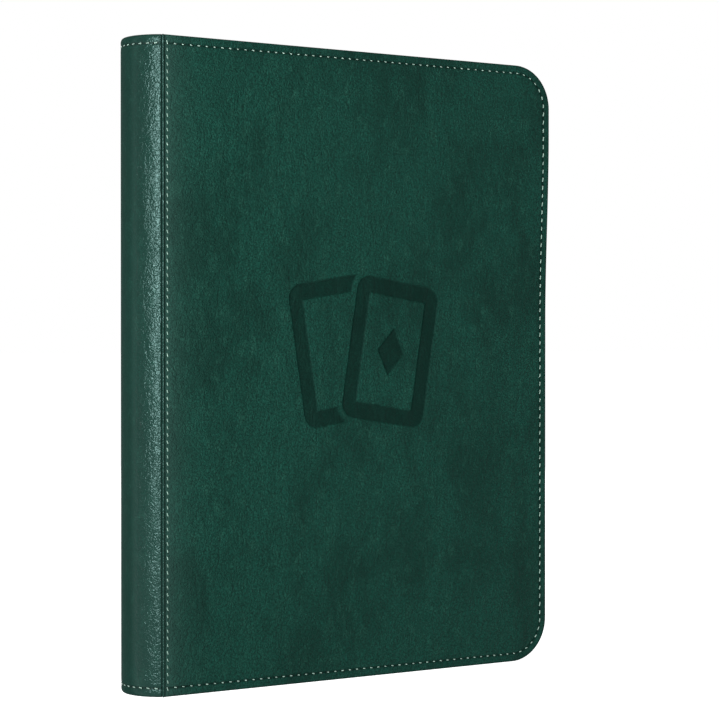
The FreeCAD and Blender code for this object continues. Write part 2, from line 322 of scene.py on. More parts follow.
# ---- node helpers ----
class NodeTree:
    """Short calls for building the nodes of a material, or of a world."""

    def __init__(self, name, world=False):
        self.owner = (bpy.data.worlds if world else bpy.data.materials).new(name)
        self.owner.use_nodes = True
        self.tree = self.owner.node_tree
        self.tree.nodes.clear()
        self.output = self.add("OutputWorld" if world else "OutputMaterial")

    def add(self, kind, **settings):
        """A new shader node with its settings."""
        node = self.tree.nodes.new("ShaderNode" + kind)
        for key, value in settings.items():
            setattr(node, key, value)
        return node

    def give(self, socket, value):
        """Links another node's output to a socket, or sets the socket's value."""
        if isinstance(value, bpy.types.NodeSocket):
            self.tree.links.new(value, socket)
        elif socket.type == "RGBA":
            socket.default_value = (*value, 1.0)
        else:
            socket.default_value = value

    def feed(self, node, **inputs):
        """Gives inputs by name, with _ for a space."""
        for key, value in inputs.items():
            self.give(node.inputs[key.replace("_", " ")], value)
        return node

    def feed_in_order(self, node, *values):
        """Gives inputs in their order."""
        for socket, value in zip(node.inputs, values):
            self.give(socket, value)
        return node.outputs[0]

    def math(self, operation, a, b):
        """The result of one operation on two values."""
        return self.feed_in_order(self.add("Math", operation=operation), a, b)

    def times(self, a, b):
        """The product of two values."""
        return self.math("MULTIPLY", a, b)

    def place(self):
        """Object coordinates."""
        return self.add("TexCoord").outputs["Object"]

    def noise(self, size, detail=3.0, roughness=0.5, vector=None, distortion=0.0):
        """Noise whose features are about size metres across."""
        node = self.feed(self.add("TexNoise"), Scale=1.0 / size, Detail=detail, Roughness=roughness,
                         Distortion=distortion, Vector=vector or self.place())
        return node.outputs["Fac"]

    def cells(self, size, vector, feature):
        """Distances in a pattern of cells about size metres across."""
        node = self.feed(self.add("TexVoronoi", feature=feature), Scale=1.0 / size, Vector=vector)
        return node.outputs["Distance"]

    def stretch(self, x, y, z):
        """Object coordinates scaled on each axis."""
        return self.feed(self.add("Mapping"), Scale=(x, y, z), Vector=self.place()).outputs[0]

    def ramp(self, value, low, high, to_low=0.0, to_high=1.0):
        """Eases the run from low to high onto the run from to_low to to_high."""
        node = self.feed(self.add("MapRange", interpolation_type="SMOOTHSTEP"), Value=value,
                         From_Min=low, From_Max=high, To_Min=to_low, To_Max=to_high)
        return node.outputs[0]

    def mix(self, factor, a, b):
        """Colour a, turning into b as the factor goes from 0 to 1."""
        node = self.add("Mix", data_type="RGBA")
        for index, value in ((0, factor), (6, a), (7, b)):
            self.give(node.inputs[index], value)
        return node.outputs[2]

    def bump(self, height, distance, strength=1.0, normal=None):
        """A normal with relief, on top of another normal if there is one."""
        node = self.feed(self.add("Bump"), Height=height, Distance=distance, Strength=strength)
        if normal is not None:
            self.give(node.inputs["Normal"], normal)
        return node.outputs[0]

    def attribute(self, name):
        """A float that the mesh carries on its points."""
        return self.add("Attribute", attribute_name=name).outputs["Fac"]

    def close(self, shader):
        self.give(self.output.inputs["Surface"], shader)
        return self.owner

    def shade(self, base, rough, normal, **others):
        """Closes the tree with a Principled shader."""
        return self.close(self.feed(self.add("BsdfPrincipled"), Base_Color=base, Roughness=rough,
                                    Normal=normal, **others).outputs[0])

    def close_by_ray(self, plain, seen):
        """Closes the tree: one shader for light, one as the camera, gloss and clear film see it."""
        path = self.add("LightPath")
        rays = self.math("MAXIMUM", path.outputs["Is Camera Ray"], path.outputs["Is Glossy Ray"])
        rays = self.math("MAXIMUM", rays, path.outputs["Is Transmission Ray"])
        return self.close(self.feed_in_order(self.add("MixShader"), rays, plain, seen))


# ---- materials ----
def leather_material(name, grain, grain_depth, wrinkle_depth, shine_and_painted_shade):
    """Dyed synthetic leather: clouded colour, pebbled grain, fine creases, painted shade in the grooves and folds,
    and a painted sheen beside the seam.
    """
    leather = leather_props()
    nodes = NodeTree(name)
    warp = nodes.feed(nodes.add("TexNoise"), Scale=1.0 / (6 * grain), Detail=2.0, Vector=nodes.place())
    bend = nodes.feed_in_order(nodes.add("VectorMath", operation="MULTIPLY_ADD"),
                               warp.outputs["Color"], (grain * 1.2,) * 3, nodes.place())
    pebbles = nodes.cells(grain, bend, "SMOOTH_F1")
    folds = nodes.cells(grain * 2.6, bend, "DISTANCE_TO_EDGE")
    fine = nodes.noise(grain * 0.45, 4.0, 0.6)
    creases = nodes.noise(9 * grain, 6.0, 0.62, nodes.stretch(1.0, 1.0, 0.45), 0.6)
    clouds = nodes.noise(38 * MM, 5.0, 0.60, nodes.stretch(1.25, 1.0, 0.8), 0.3)
    blotches = nodes.noise(6 * MM, 5.0, 0.66, nodes.stretch(1.2, 1.0, 0.75), 0.4)
    specks = nodes.noise(0.9 * MM, 4.0, 0.70)

    # Painted shade: on the spine's glossy copy the mid green and the pale clouds are darkened to half.
    painted_shade_tone = 1.0 - 0.50 * shine_and_painted_shade
    mid = [c * painted_shade_tone for c in leather.mid]
    colour = nodes.mix(nodes.ramp(clouds, 0.34, 0.60, 0.30, 1.0), leather.deep, mid)
    layers = ((blotches, 0.48, 0.74, 0.60 * painted_shade_tone, leather.light),
              (specks, 0.42, 0.60, 0.80, leather.deep), (pebbles, 0.35, 0.80, 0.72, leather.deep))
    for pattern, low, high, share, dye in layers:
        colour = nodes.mix(nodes.ramp(pattern, low, high, 0.0, share), colour, dye)
    pressed = nodes.attribute("press")
    # Mask of painted shade in the stitch grooves and folds; it also roughens the leather.
    groove = nodes.attribute("crease")
    # Painted sheen beside the seam, the pressed mark's own darker tone, then the painted shade of grooves and
    # folds.
    marks = ((nodes.attribute("rub"), 0.42, PAINTED_SHEEN_DYE),
             (pressed, 0.74, [c * 0.42 for c in leather.deep]),
             (groove, 0.75, [c * 0.30 for c in leather.deep]))
    for mask, share, dye in marks:
        colour = nodes.mix(nodes.times(mask, share), colour, dye)

    height = nodes.times(nodes.ramp(pebbles, 0.0, 0.9, 1.0, 0.0), 0.65)
    height = nodes.math("ADD", height, nodes.times(nodes.ramp(folds, 0.0, 0.16), 0.55))
    height = nodes.math("ADD", height, nodes.times(fine, 0.35))
    calm = nodes.math("SUBTRACT", 1.0, nodes.times(pressed, 0.7))
    broad = nodes.bump(creases, wrinkle_depth)
    normal = nodes.bump(nodes.times(height, calm), grain_depth, normal=broad)
    rough = nodes.ramp(blotches, 0.3, 0.7, 0.42 - 0.215 * shine_and_painted_shade, 0.52 - 0.275 * shine_and_painted_shade)
    rough = nodes.math("ADD", rough, nodes.times(groove, 0.25))
    facing = nodes.feed(nodes.add("LayerWeight"), Blend=0.5).outputs["Facing"]
    rough = nodes.math("MAXIMUM", rough, nodes.ramp(facing, 0.10, 0.42, 0.0, 1.0))
    return nodes.shade(colour, rough, normal, IOR=1.5, Specular_IOR_Level=0.05 + 0.17 * shine_and_painted_shade,
                       Specular_Tint=(0.62, 1.0, 0.96))


def thread_material(name):
    """Bonded sewing thread: two twisted plies, slightly soiled."""
    colour = Vector(stitch_props().colour)
    nodes = NodeTree(name)
    wave = nodes.feed(nodes.add("TexWave", bands_direction="DIAGONAL"), Scale=1.0 / (1.1 * MM),
                      Distortion=1.5, Detail=1.0, Vector=nodes.place()).outputs["Fac"]
    soil = nodes.noise(3.5 * MM, 3.0)
    base = nodes.mix(nodes.ramp(soil, 0.35, 0.7, 0.0, 0.55), colour, colour * 0.50)
    base = nodes.mix(nodes.times(wave, 0.45), base, colour * 0.45)
    normal = nodes.bump(wave, 0.08 * MM)
    rough = nodes.ramp(soil, 0.3, 0.7, 0.50, 0.72)
    return nodes.shade(base, rough, normal, Sheen_Weight=0.25)


def hole_material(name):
    """Painted shade: dark leather inside a needle hole."""
    nodes = NodeTree(name)
    shade = nodes.noise(0.6 * MM, 2.0)
    deep = Vector(leather_props().deep)
    base = nodes.mix(shade, deep * 0.12, deep * 0.35)
    normal = nodes.bump(shade, 0.05 * MM)
    rough = nodes.ramp(shade, 0.3, 0.7, 0.8, 0.95)
    return nodes.shade(base, rough, normal, Specular_IOR_Level=0.15)


def woven_material(name, dark, pale, thread_width, twill=0.0):
    """Woven cloth: warp and weft ribs that pass over each other, with lint."""
    nodes = NodeTree(name)
    ribs = []
    for angle in (0.0, pi / 2):
        turn = nodes.feed(nodes.add("Mapping"), Rotation=(0.0, angle + twill, 0.0), Vector=nodes.place())
        wave = nodes.feed(nodes.add("TexWave", bands_direction="X"), Scale=WAVE_LENGTH / thread_width,
                          Distortion=0.4, Detail=1.0, Vector=turn.outputs[0])
        ribs.append(wave.outputs["Fac"])
    weave = nodes.math("MAXIMUM", nodes.times(ribs[0], 0.85), ribs[1])
    lint = nodes.noise(2.2 * MM, 5.0, 0.65)
    base = nodes.mix(nodes.times(weave, 0.8), dark, pale)
    base = nodes.mix(nodes.ramp(lint, 0.45, 0.75, 0.0, 0.5), base, [c * 1.8 for c in pale])
    normal = nodes.bump(weave, 0.12 * MM, 0.8)
    rough = nodes.ramp(lint, 0.3, 0.7, 0.72, 0.92)
    return nodes.shade(base, rough, normal, Sheen_Weight=0.15, Specular_IOR_Level=0.3)


def moulded_material(name, colour, roughness, texture_size, texture_depth):
    """Moulded or rolled plastic with a fine surface and faint clouding."""
    nodes = NodeTree(name)
    cloud = nodes.noise(12 * MM, 4.0)
    fine = nodes.noise(texture_size, 4.0, 0.6)
    base = nodes.mix(nodes.ramp(cloud, 0.35, 0.7), colour, [c * 1.5 for c in colour])
    rough = nodes.ramp(cloud, 0.3, 0.7, roughness - 0.05, roughness + 0.07)
    normal = nodes.bump(fine, texture_depth)
    return nodes.shade(base, rough, normal)


def film_material(name):
    """Clear pocket film: faint ripples, mostly see-through."""
    nodes = NodeTree(name)
    ripple = nodes.noise(14 * MM, 3.0, 0.5)
    dust = nodes.noise(0.8 * MM, 3.0)
    base = nodes.mix(nodes.ramp(dust, 0.5, 0.8, 0.0, 0.3), (0.62, 0.66, 0.66), (0.85, 0.87, 0.87))
    normal = nodes.bump(ripple, 0.5 * MM, 0.5)
    rough = nodes.ramp(ripple, 0.3, 0.7, 0.12, 0.24)
    return nodes.shade(base, rough, normal, Alpha=0.20, IOR=1.49, Coat_Weight=0.5, Coat_Roughness=0.08)


def metal_material(name):
    """Gunmetal plating, rubbed brighter in patches, with fine scratches."""
    nodes = NodeTree(name)
    rub = nodes.noise(2.5 * MM, 5.0, 0.6)
    scratch = nodes.noise(0.35 * MM, 3.0, 0.6, nodes.stretch(0.08, 1.0, 1.0))
    base = nodes.mix(nodes.ramp(rub, 0.4, 0.7), (0.075, 0.080, 0.082), (0.20, 0.21, 0.21))
    rough = nodes.ramp(scratch, 0.3, 0.7, 0.24, 0.40)
    normal = nodes.bump(scratch, 0.02 * MM, 0.5)
    return nodes.shade(base, rough, normal, Metallic=1.0)


def greyboard_material(name):
    """Pressed grey board, with fibres."""
    nodes = NodeTree(name)
    fibre = nodes.noise(1.0 * MM, 6.0, 0.7, nodes.stretch(1.0, 1.0, 0.3))
    base = nodes.mix(nodes.ramp(fibre, 0.3, 0.7), (0.20, 0.19, 0.17), (0.34, 0.32, 0.29))
    normal = nodes.bump(fibre, 0.08 * MM)
    rough = nodes.ramp(fibre, 0.3, 0.7, 0.85, 0.95)
    return nodes.shade(base, rough, normal)


MATERIAL_MAKERS = {
    "cover_leather": lambda name: leather_material(
        name, leather_props().cover_grain, 0.42 * MM, 1.8 * MM, 0.0),
    # The spine's copy is glossier, and its colour is darkened as painted shade.
    "spine_leather": lambda name: leather_material(
        name, leather_props().spine_grain, 0.14 * MM, 0.9 * MM, 1.0),
    "sewing_thread": thread_material,
    "needle_hole": hole_material,
    "lining_cloth": lambda name: woven_material(
        name, (0.006, 0.007, 0.007), (0.030, 0.032, 0.032), 0.5 * MM),
    "zip_tape_cloth": lambda name: woven_material(
        name, (0.004, 0.010, 0.008), (0.016, 0.036, 0.029), 0.55 * MM, pi / 4),
    "zip_plastic": lambda name: moulded_material(
        name, bpy.context.scene.binder_zip.colour, 0.38, 0.3 * MM, 0.01 * MM),
    "page_plastic": lambda name: moulded_material(
        name, (0.010, 0.010, 0.011), 0.45, 0.5 * MM, 0.03 * MM),
    "pocket_film": film_material,
    "gunmetal": metal_material,
    "greyboard": greyboard_material,
}
SLOT_MATERIALS = {
    "leather": "cover_leather", "greyboard": "greyboard", "lining_fabric": "lining_cloth",
    "zip_tape": "zip_tape_cloth", "zip_teeth": "zip_plastic", "slider_metal": "gunmetal",
    "page_core": "page_plastic", "pocket_film": "pocket_film",
}


def material(name):
    """The named material, made on first use."""
    if name not in bpy.data.materials:
        MATERIAL_MAKERS[name](name)
    return bpy.data.materials[name]


# ---- cover leather ----
# Turned edge, in millimetres: distance in from the outline, and depth below the face.
EDGE_SECTION = [(3.10, 3.60), (3.06, 4.05), (2.80, 4.30), (2.20, 4.38), (1.50, 4.38), (0.85, 4.22),
                (0.35, 3.85), (0.08, 3.30), (0.00, 2.60), (0.00, 1.90), (0.06, 1.25), (0.25, 0.74),
                (0.55, 0.40), (0.95, 0.17), (1.45, 0.05), (2.10, 0.00), (2.90, 0.03), (3.60, 0.12)]
# Fold beside a seam, in millimetres: distance from the cut end, and depth below the face.
FOLD_SECTION = [(0.00, 2.60), (0.00, 0.75), (0.08, 0.42), (0.25, 0.18), (0.50, 0.05), (0.90, 0.00)]
# Stitch groove: millimetres from the stitch line, and share of the groove's depth.
COVER_GROOVE = [(-0.7, 0.45), (-0.35, 0.85), (0.0, 1.0), (0.35, 0.85), (0.7, 0.50), (1.2, 0.20),
                (1.9, 0.05), (3.0, 0.0)]
SPINE_GROOVE = [(-0.7, 0.40), (-0.3, 0.9), (0.0, 1.0), (0.3, 0.9), (0.7, 0.45), (1.3, 0.15), (2.4, 0.0)]


def grooved(section, groove):
    """A turned edge and the stitch groove after it: distance in, and depth, in metres."""
    line = stitch_props().inset / MM
    pull = leather_props().groove_depth / MM
    return [(t * MM, d * MM) for t, d in section + [(line + t, share * pull) for t, share in groove]]


def edge_profile():
    """The turned edge, then the stitch groove, then the flat face."""
    run_in = (10.5, 15.0, 20.0, leather_props().corner_radius / MM)
    return grooved(EDGE_SECTION, COVER_GROOVE) + [(x * MM, 0.0) for x in run_in]


def groove_shade(from_edge):
    """How much painted shade darkens the leather in the stitch groove, at a distance from its edge."""
    if from_edge <= TURNED_REACH:
        return 0.0
    return exp(-((from_edge - stitch_props().inset) / GROOVE_REACH) ** 2)


def rounded_box(x, z, centre_x, centre_z, tilt):
    """Distance outside a tilted card outline, and the card's own two axes."""
    across = (x - centre_x) * cos(tilt) - (z - centre_z) * sin(tilt)
    up = (x - centre_x) * sin(tilt) + (z - centre_z) * cos(tilt)
    qx = np.abs(across) - (CARD_HALF_WIDTH - CARD_CORNER)
    qz = np.abs(up) - (CARD_HALF_HEIGHT - CARD_CORNER)
    outside = np.hypot(np.maximum(qx, 0), np.maximum(qz, 0))
    return outside + np.minimum(np.maximum(qx, qz), 0) - CARD_CORNER, np.abs(across), np.abs(up)


def mark_height(x, z):
    """1 inside the plain pressed mark: two card outlines, the front one with a lozenge."""
    front, across, up = rounded_box(x, z, MARK_X + CARD_SHIFT, MARK_Z, CARD_TILT)
    back, _, _ = rounded_box(x, z, MARK_X - CARD_SHIFT, MARK_Z + 1 * MM, -CARD_TILT)
    lozenge = (across / LOZENGE_HALF_WIDTH + up / LOZENGE_HALF_HEIGHT - 1.0) * LOZENGE_SLOPE
    front_bar = np.maximum(front, -front - BAR_WIDTH)
    back_bar = np.maximum(np.maximum(back, -back - BAR_WIDTH), CARD_GAP - front)
    distance = np.minimum(np.minimum(front_bar, lozenge), back_bar)
    return 1.0 - smooth_step(distance, -MARK_BEVEL, MARK_BEVEL)


def stations(start, end, centre, reach, marked):
    """Points from start to end, close together within reach of a marked centre."""
    if not marked:
        return spaced(start, end, FACE_STEP)
    low, high = centre - reach, centre + reach
    return (spaced(start, low, FACE_STEP) + spaced(low, high, MARK_STEP)[1:]
            + spaced(high, end, FACE_STEP)[1:])


def cover_samples(marked):
    """X stations and fold depths from the seam to the corner, and Z stations between corners."""
    radius = leather_props().corner_radius
    folds = [COVER_START + d * MM for d, _ in FOLD_SECTION]
    xs = folds + stations(folds[-1], FORE_X - radius, MARK_X, MARK_REACH_X, marked)[1:]
    zs = stations(radius, HEIGHT - radius, MARK_Z, MARK_REACH_Z, marked)
    fold_depth = [d * MM for _, d in FOLD_SECTION] + [0.0] * (len(xs) - len(folds))
    return np.array(xs), np.array(fold_depth), np.array(zs)


def outline_row(inset, xs, zs):
    """Points of the cover's outline drawn in by inset: bottom, fore-edge, then top."""
    radius = leather_props().corner_radius
    r = radius - inset
    x_mid = FORE_X - radius
    turn = np.linspace(0, pi / 2, CORNER_POINTS + 2)[1:-1]
    bottom = [(x, inset) for x in xs]
    corner_low = [(x_mid + r * sin(a), radius - r * cos(a)) for a in turn]
    side = [(FORE_X - inset, z) for z in zs]
    corner_high = [(x_mid + r * cos(a), HEIGHT - radius + r * sin(a)) for a in turn]
    top = [(x, HEIGHT - inset) for x in xs[::-1]]
    return bottom + corner_low + side + corner_high + top


def corner_ease(x, z):
    """How far outward the front's leather has eased at a place, most at its top corner."""
    return leather_props().corner_ease * smooth_step(x, *EASE_ALONG) * smooth_step(z, *EASE_UP)


def make_cover_leather(name, body, node, side, marked):
    """A cover's leather: rings from the turned edge inward, then a grid over the flat middle."""
    xs, fold_depth, zs = cover_samples(marked)
    profile = edge_profile()
    pads = [0.0] * (CORNER_POINTS + len(zs) + CORNER_POINTS)
    row_fold = np.concatenate([fold_depth, pads, fold_depth[::-1]])
    points, press, crease = [], [], []
    for inset, depth in profile:
        total = np.minimum(depth + row_fold, BACK_EDGE_DEPTH)
        row = outline_row(inset, xs, zs)
        points += [(x, side * (HALF_DEPTH - d), z) for (x, z), d in zip(row, total)]
        press += [0.0] * len(row)
        # Painted shade along the stitch groove.
        crease += [groove_shade(inset)] * len(row)
    faces = grid_quads(len(profile), len(row), flip=side > 0)
    grid_x, grid_z = np.meshgrid(xs, zs)
    mark = mark_height(grid_x, grid_z) if marked else np.zeros_like(grid_x)
    sunk = mark * leather_props().mark_depth + fold_depth[None, :]
    faces += grid_quads(len(zs), len(xs), len(points), flip=side > 0)
    points += list(zip(grid_x.ravel(), (side * (HALF_DEPTH - sunk)).ravel(), grid_z.ravel()))
    press += list(mark.ravel())
    crease += [0.0] * mark.size
    points = np.array(points)
    if marked:
        points[:, 0] += corner_ease(points[:, 0], points[:, 2])
    # Painted shade at the fold into the seam.
    painted_fold_shade = np.exp(-np.abs(points[:, 0] - COVER_START) / FOLD_SHADE_REACH)
    crease = np.maximum(np.array(crease), painted_fold_shade)
    leather = new_piece(name, points, faces, material("cover_leather"),
                        {"press": press, "crease": crease,
                         # Painted sheen, fading away from the seam.
                         "rub": np.exp(-(points[:, 0] - COVER_START) / PAINTED_SHEEN_REACH)})
    weld(leather)
    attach(leather, body)
    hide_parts(node)


# ---- spine leather ----
# End of the spine, in millimetres: distance from the end, and depth below the face.
SPINE_END_SECTION = [(7.00, 3.05), (2.60, 3.10), (1.20, 3.05), (0.45, 2.75), (0.05, 2.20), (0.00, 1.75),
                     (0.16, 1.20), (0.50, 0.70), (1.00, 0.33), (1.70, 0.10), (2.50, 0.00), (3.40, 0.08)]


def spine_rows():
    """Heights and depths from the bottom end to the top end."""
    end = grooved(SPINE_END_SECTION, SPINE_GROOVE)
    middle = [(z, 0.0) for z in spaced(end[-1][0], HEIGHT - end[-1][0], 3 * MM)[1:-1]]
    return end + middle + [(HEIGHT - z, d) for z, d in end[::-1]]


def spine_angles():
    """Angles round the spine, and the fold's depth at each: front seam to back seam."""
    reach = acos((SPINE_CENTRE_X - SPINE_END_X) / SPINE_RADIUS)
    folds = [(reach - d * MM / SPINE_RADIUS, depth * MM) for d, depth in FOLD_SECTION]
    inner = folds[-1][0]
    middle = [(a, 0.0) for a in np.linspace(inner, -inner, SPINE_COLUMNS)[1:-1]]
    return folds + middle + [(-a, depth) for a, depth in folds[::-1]]


def on_spine(angle, depth, z):
    """Point on the spine at an angle from the -X direction; positive is the front."""
    r = SPINE_RADIUS - depth
    return (SPINE_CENTRE_X - r * cos(angle), -r * sin(angle), z)


class BINDER_OT_covers(bpy.types.Operator):
    """Make the front and back cover leather with turned edges"""
    bl_idname = "binder.covers"
    bl_label = "Cover Leather"

    def execute(self, context):
        make_cover_leather("front_cover_leather", "front_cover", "front_skin", -1, True)
        make_cover_leather("back_cover_leather", "back_cover", "back_skin", 1, False)
        return {"FINISHED"}


class BINDER_OT_spine(bpy.types.Operator):
    """Make the spine leather and the welts in its seams"""
    bl_idname = "binder.spine"
    bl_label = "Spine Leather"

    def execute(self, context):
        rows, columns = spine_rows(), spine_angles()
        points, crease = [], []
        for z, depth in rows:
            # Painted shade in the stitch grooves at both ends, and in the folds at the seams.
            near = groove_shade(min(z, HEIGHT - z))
            for angle, fold in columns:
                points.append(on_spine(angle, min(depth + fold, SPINE_EDGE_DEPTH), z))
                crease.append(max(near, min(1.0, fold / (0.5 * MM))))
        faces = grid_quads(len(rows), len(columns), flip=True)
        leather = new_piece("spine_leather_shell", points, faces, material("spine_leather"),
                            {"crease": crease})
        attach(leather, "spine")
        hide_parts("spine_skin")
        for name, body, side in COVERS:
            make_seam_backing(name + "_seam_backing", side)
        welt = make_welts()
        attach(welt, "spine")
        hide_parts("seam_welts")
        return {"FINISHED"}


def make_seam_backing(name, side):
    """Strip of leather behind a welt, sewn to the spine and to the cover."""
    y = side * (HINGE_Y - WELT_RADIUS - 0.1 * MM)
    heights = spaced(1.2 * MM, HEIGHT - 1.2 * MM, 6 * MM)
    xs = [HINGE_X + d * MM for d in (-1.6, -1.0, -0.5, -0.2, 0.2, 0.5, 1.0, 1.6, 2.2)]
    points = [(x, y, z) for z in heights for x in xs]
    faces = grid_quads(len(heights), len(xs), flip=side > 0)
    # Painted shade all over the strip, which sits in shade behind the welt.
    strip = new_piece(name, points, faces, material("cover_leather"), {"crease": [0.8] * len(points)})
    thicken(strip, 0.3 * MM, -1.0)
    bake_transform(strip)


def make_welts():
    """Leather-covered cords in the two seams, rounded at the ends and slightly uneven."""
    ends = [(0.0, 0.0), (0.05, 0.45), (0.25, 0.80), (0.60, 1.0)]
    rings = [(z * MM, share) for z, share in ends]
    middle = [(z, 1.0) for z in spaced(rings[-1][0], HEIGHT - rings[-1][0], 2 * MM)[1:-1]]
    rings += middle + [(HEIGHT - z, share) for z, share in rings[::-1]]
    points, faces = [], []
    for side in (-1, 1):
        start = len(points)
        for z, share in rings:
            swell = 1.0 - 0.05 * (0.5 + 0.5 * sin(z / WELT_WAVE * 2 * pi))
            for k in range(WELT_SIDES + 1):
                a = 2 * pi * k / WELT_SIDES
                r = WELT_RADIUS * share * swell
                points.append((HINGE_X + r * cos(a), side * HINGE_Y + r * sin(a), z))
        faces += grid_quads(len(rings), WELT_SIDES + 1, start)
    return weld(new_piece("seam_welt_cords", points, faces, material("spine_leather")))


# ---- stitching ----
# Rings of a stitch: place along it, rise in thread radii, and thickness.
STITCH_RINGS = [(-0.50, -1.5, 0.70), (-0.44, -0.45, 0.92), (-0.27, 0.12, 1.0), (0.0, 0.26, 1.0),
                (0.27, 0.12, 1.0), (0.44, -0.45, 0.92), (0.50, -1.5, 0.70)]
STITCH_SIDES = 8
HOLE_SIDES = 10


class ThreadBuilder:
    """Collects stitches and the painted shade of their needle holes, then makes them two pieces."""

    def __init__(self):
        self.points, self.faces = [], []
        self.hole_points, self.hole_faces = [], []

    def stitch(self, centre, along, out, length, radius):
        """One stitch: a thread that rises from one hole and dives into the next."""
        along = along.normalized()
        out = out.normalized()
        across = along.cross(out)
        start = len(self.points)
        for share, lift, thick in STITCH_RINGS:
            middle = centre + along * (share * length) + out * (lift * radius)
            for a in turns(STITCH_SIDES):
                ring = across * cos(a) + out * (0.85 * sin(a))
                self.points.append(middle + ring * (radius * thick))
        self.faces += ring_quads(len(STITCH_RINGS), STITCH_SIDES, start)
        for end in (-1, 1):
            self.hole(centre + along * (end * 0.54 * length), along, out, across, radius)

    def hole(self, centre, along, out, across, radius):
        """Painted shade of a needle hole at a stitch's end: a dark dimple of two rings round a middle point."""
        start = len(self.hole_points)
        for grow, lift in ((1.45, 0.10), (0.9, 0.16)):
            for a in turns(HOLE_SIDES):
                reach = along * (1.1 * cos(a)) + across * sin(a)
                self.hole_points.append(centre + reach * (grow * radius) + out * (lift * radius))
        self.hole_points.append(centre + out * (0.16 * radius))
        self.hole_faces += ring_quads(2, HOLE_SIDES, start)
        inner, middle = start + HOLE_SIDES, start + 2 * HOLE_SIDES
        self.hole_faces += [(inner + k, inner + (k + 1) % HOLE_SIDES, middle) for k in range(HOLE_SIDES)]

    def finish(self, name, body):
        """Makes the thread and the painted shade of its holes, and lets both ride on a body."""
        thread = new_piece(name, self.points, self.faces, material("sewing_thread"))
        holes = new_piece(name + "_holes", self.hole_points, self.hole_faces, material("needle_hole"))
        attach(thread, body)
        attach(holes, body)


def thread_depth():
    """Depth of the stitch line's middle, with the thread part out of its groove."""
    return leather_props().groove_depth - THREAD_RISE


def cover_route(inset):
    """Edge line of a cover as (length, place): bottom, fore-edge and top, by arc length."""
    radius = leather_props().corner_radius
    r = radius - inset
    x_end = FORE_X - radius
    x_start = HINGE_X + stitch_props().seam_offset
    straight = x_end - x_start
    side = HEIGHT - 2 * radius
    bend = r * pi / 2

    def place(s):
        """X, Z and the unit directions along the edge and outward from it."""
        if s < straight:
            return Vector((x_start + s, 0, inset)), Vector((1, 0, 0)), Vector((0, 0, -1))
        s -= straight
        if s < bend:
            a = s / r
            out = Vector((sin(a), 0, -cos(a)))
            return Vector((x_end, 0, radius)) + out * r, Vector((cos(a), 0, sin(a))), out
        s -= bend
        if s < side:
            return Vector((FORE_X - inset, 0, radius + s)), Vector((0, 0, 1)), Vector((1, 0, 0))
        s -= side
        if s < bend:
            a = s / r
            out = Vector((cos(a), 0, sin(a)))
            along = Vector((-sin(a), 0, cos(a)))
            return Vector((x_end, 0, HEIGHT - radius)) + out * r, along, out
        s -= bend
        return Vector((x_end - s, 0, HEIGHT - inset)), Vector((-1, 0, 0)), Vector((0, 0, 1))

    return 2 * straight + 2 * bend + side, place


def sew_cover(name, body, side, depth, share=0.56):
    """Stitches round a cover, on its face or, with depth to the lining, on its inside."""
    props = stitch_props()
    total, place = cover_route(props.inset)
    count = int(total / props.edge_pitch)
    builder = ThreadBuilder()
    y = side * (HALF_DEPTH - depth)
    out = Vector((0, side if depth < COVER_THICKNESS / 2 else -side, 0))
    for k in range(1, count):
        where, along, edge_out = place(total * k / count)
        if side < 0:
            where.x += corner_ease(where.x, where.z)
        wander = 0.06 * sin(k * 2.4) + 0.04 * sin(k * 5.1)
        slant = along + edge_out * (0.16 + wander)
        length = props.edge_pitch * (share - 0.24 * abs(edge_out.z) + 0.04 * sin(k * 1.7))
        builder.stitch(Vector((where.x, y, where.z)), slant, out, length, props.radius)
    builder.finish(name, body)


def sew_seam(name, body, side):
    """Slanted stitches beside the welt, on the cover's leather."""
    props = stitch_props()
    count = int((HEIGHT - 2 * SEAM_MARGIN) / props.seam_pitch)
    pitch = (HEIGHT - 2 * SEAM_MARGIN) / count
    builder = ThreadBuilder()
    for k in range(count):
        z = SEAM_MARGIN + (k + 0.5) * pitch
        slant = Vector((0.30 + 0.05 * sin(k * 1.9), 0, -1))
        centre = Vector((HINGE_X + props.seam_offset, side * (HALF_DEPTH - SEAM_SINK), z))
        length = pitch * (0.60 + 0.05 * sin(k * 2.9))
        builder.stitch(centre, slant, Vector((0, side, 0)), length, props.radius * 0.85)
    builder.finish(name, body)


def sew_spine(name):
    """Stitches over both ends of the spine."""
    props = stitch_props()
    reach = spine_angles()[len(FOLD_SECTION) - 1][0]
    count = int(2 * reach * SPINE_RADIUS / props.edge_pitch * 1.12)
    builder = ThreadBuilder()
    for end, tilt in ((props.inset, -0.18), (HEIGHT - props.inset, 0.18)):
        for k in range(count):
            angle = reach * (1 - 2 * (k + 0.5) / count)
            centre = Vector(on_spine(angle, thread_depth(), end))
            out = Vector((-cos(angle), -sin(angle), 0))
            slant = Vector((sin(angle), -cos(angle), tilt))
            builder.stitch(centre, slant, out, props.edge_pitch * 0.40, props.radius)
    builder.finish(name, "spine")


class BINDER_OT_stitching(bpy.types.Operator):
    """Sew round the covers, along the seams and over the spine's ends"""
    bl_idname = "binder.stitching"
    bl_label = "Stitching"

    def execute(self, context):
        inside = COVER_THICKNESS + LINING_SINK
        for name, body, side in COVERS:
            sew_cover(name + "_edge_thread", body, side, thread_depth())
            sew_cover(name + "_lining_thread", body, side, inside, 0.7)
            sew_seam(name + "_seam_thread", body, side)
        sew_spine("spine_end_thread")
        return {"FINISHED"}


# ---- zip ----
# Section of a tooth in its width and height; then places from grip to tip, and the width at each.
TOOTH_SECTION = [(-0.50, -0.34), (-0.34, -0.50), (0.34, -0.50), (0.50, -0.34),
                 (0.50, 0.34), (0.34, 0.50), (-0.34, 0.50), (-0.50, 0.34)]
TOOTH_RINGS = [(0.0, 0.90), (0.06, 1.0), (0.38, 1.0), (0.52, 0.80), (0.70, 0.80), (0.84, 1.0),
               (0.95, 0.90), (1.0, 0.62)]


